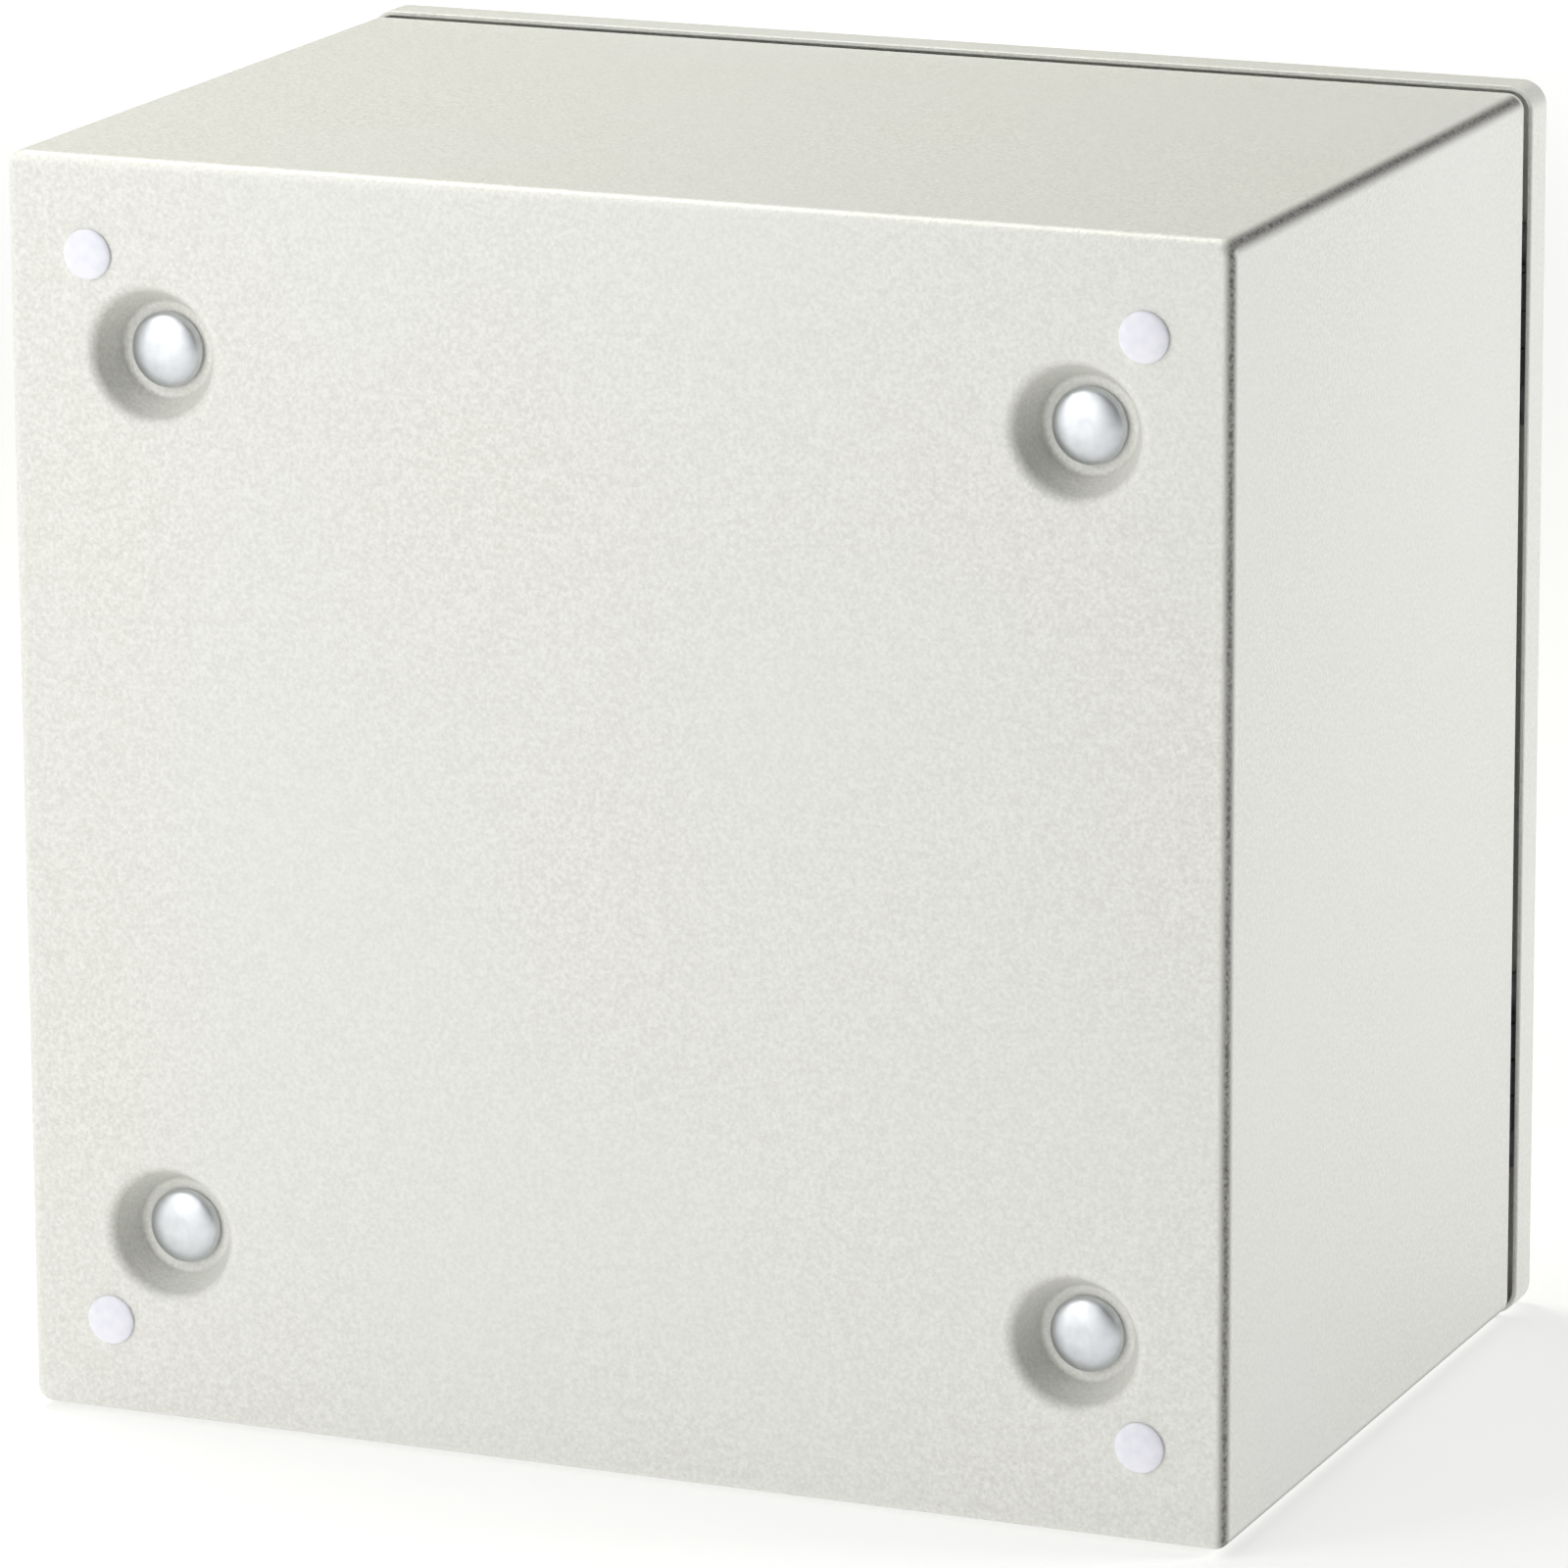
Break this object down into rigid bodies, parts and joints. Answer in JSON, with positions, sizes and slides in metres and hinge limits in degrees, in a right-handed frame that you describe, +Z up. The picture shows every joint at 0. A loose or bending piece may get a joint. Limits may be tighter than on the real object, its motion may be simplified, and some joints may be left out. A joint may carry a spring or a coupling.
{
  "type": "wall mount enclosure",
  "caption": "Small wall-mounted sheet-steel switchboard cabinet with a hinged door, quarter-turn latch, mounting plate and gland plate.",
  "frame": {"origin": "middle of the footprint, at the height of the door's lower edge", "axes": "+Z up, +Y towards the wall, the door faces -Y, +X to the right as seen from the front; the door hangs on its -X side"},
  "size_m": [0.3, 0.2164, 0.3],
  "materials": {
    "powder_coat": "fine-textured light grey powder coat",
    "galvanised": "galvanised sheet, dull spangle",
    "zinc_plate": "bright zinc plate",
    "zinc_cast": "die-cast zinc, satin",
    "lock_cast": "die-cast zinc, satin nickel",
    "foam": "closed-cell foam, matt",
    "plug_plastic": "moulded white plastic"
  },
  "bodies": {
    "cabinet_body": {"body_shell": "powder_coat", "mounting_plate": "galvanised", "mounting_bolt_lower_left": "zinc_plate", "clamp_nut_lower_left": "zinc_plate", "plate_washer_lower_left": "zinc_plate", "plate_nut_lower_left": "zinc_plate", "wall_plug_lower_left": "plug_plastic", "mounting_bolt_lower_right": "zinc_plate", "clamp_nut_lower_right": "zinc_plate", "plate_washer_lower_right": "zinc_plate", "plate_nut_lower_right": "zinc_plate", "wall_plug_lower_right": "plug_plastic", "mounting_bolt_upper_left": "zinc_plate", "clamp_nut_upper_left": "zinc_plate", "plate_washer_upper_left": "zinc_plate", "plate_nut_upper_left": "zinc_plate", "wall_plug_upper_left": "plug_plastic", "mounting_bolt_upper_right": "zinc_plate", "clamp_nut_upper_right": "zinc_plate", "plate_washer_upper_right": "zinc_plate", "plate_nut_upper_right": "zinc_plate", "wall_plug_upper_right": "plug_plastic", "gland_plate": "powder_coat", "gland_gasket": "foam", "gland_nut_front_left": "zinc_plate", "gland_nut_front_right": "zinc_plate", "gland_nut_rear_left": "zinc_plate", "gland_nut_rear_right": "zinc_plate", "body_earth_washer": "zinc_plate", "body_earth_nut": "zinc_plate", "hinge_body_leaf_lower": "zinc_cast", "hinge_pin_lower": "zinc_cast", "lower_hinge_lower_screw": "zinc_plate", "lower_hinge_upper_screw": "zinc_plate", "hinge_body_leaf_upper": "zinc_cast", "hinge_pin_upper": "zinc_cast", "upper_hinge_lower_screw": "zinc_plate", "upper_hinge_upper_screw": "zinc_plate"},
    "door": {"door_panel": "powder_coat", "door_gasket": "foam", "door_earth_washer": "zinc_plate", "door_earth_nut": "zinc_plate", "hinge_door_leaf_lower": "zinc_cast", "lower_hinge_lower_nut": "zinc_plate", "lower_hinge_upper_nut": "zinc_plate", "hinge_door_leaf_upper": "zinc_cast", "upper_hinge_lower_nut": "zinc_plate", "upper_hinge_upper_nut": "zinc_plate", "latch_housing": "lock_cast", "latch_seal": "foam", "latch_nut": "zinc_plate"},
    "latch_rotor": {"latch_rotor": "lock_cast", "latch_cam": "zinc_plate", "latch_cam_screw": "zinc_plate"}
  },
  "joints": [
    {"name": "door_hinge", "type": "hinge", "parent": "cabinet_body", "child": "door", "pos_m": [-0.1447, -0.09617, 0.15], "axis": [0, 0, -1], "range_deg": [0, 120]},
    {"name": "latch_turn", "type": "hinge", "parent": "door", "child": "latch_rotor", "pos_m": [0.106, -0.086, 0.15], "axis": [0, 1, 0], "range_deg": [0, 90]}
  ]
}
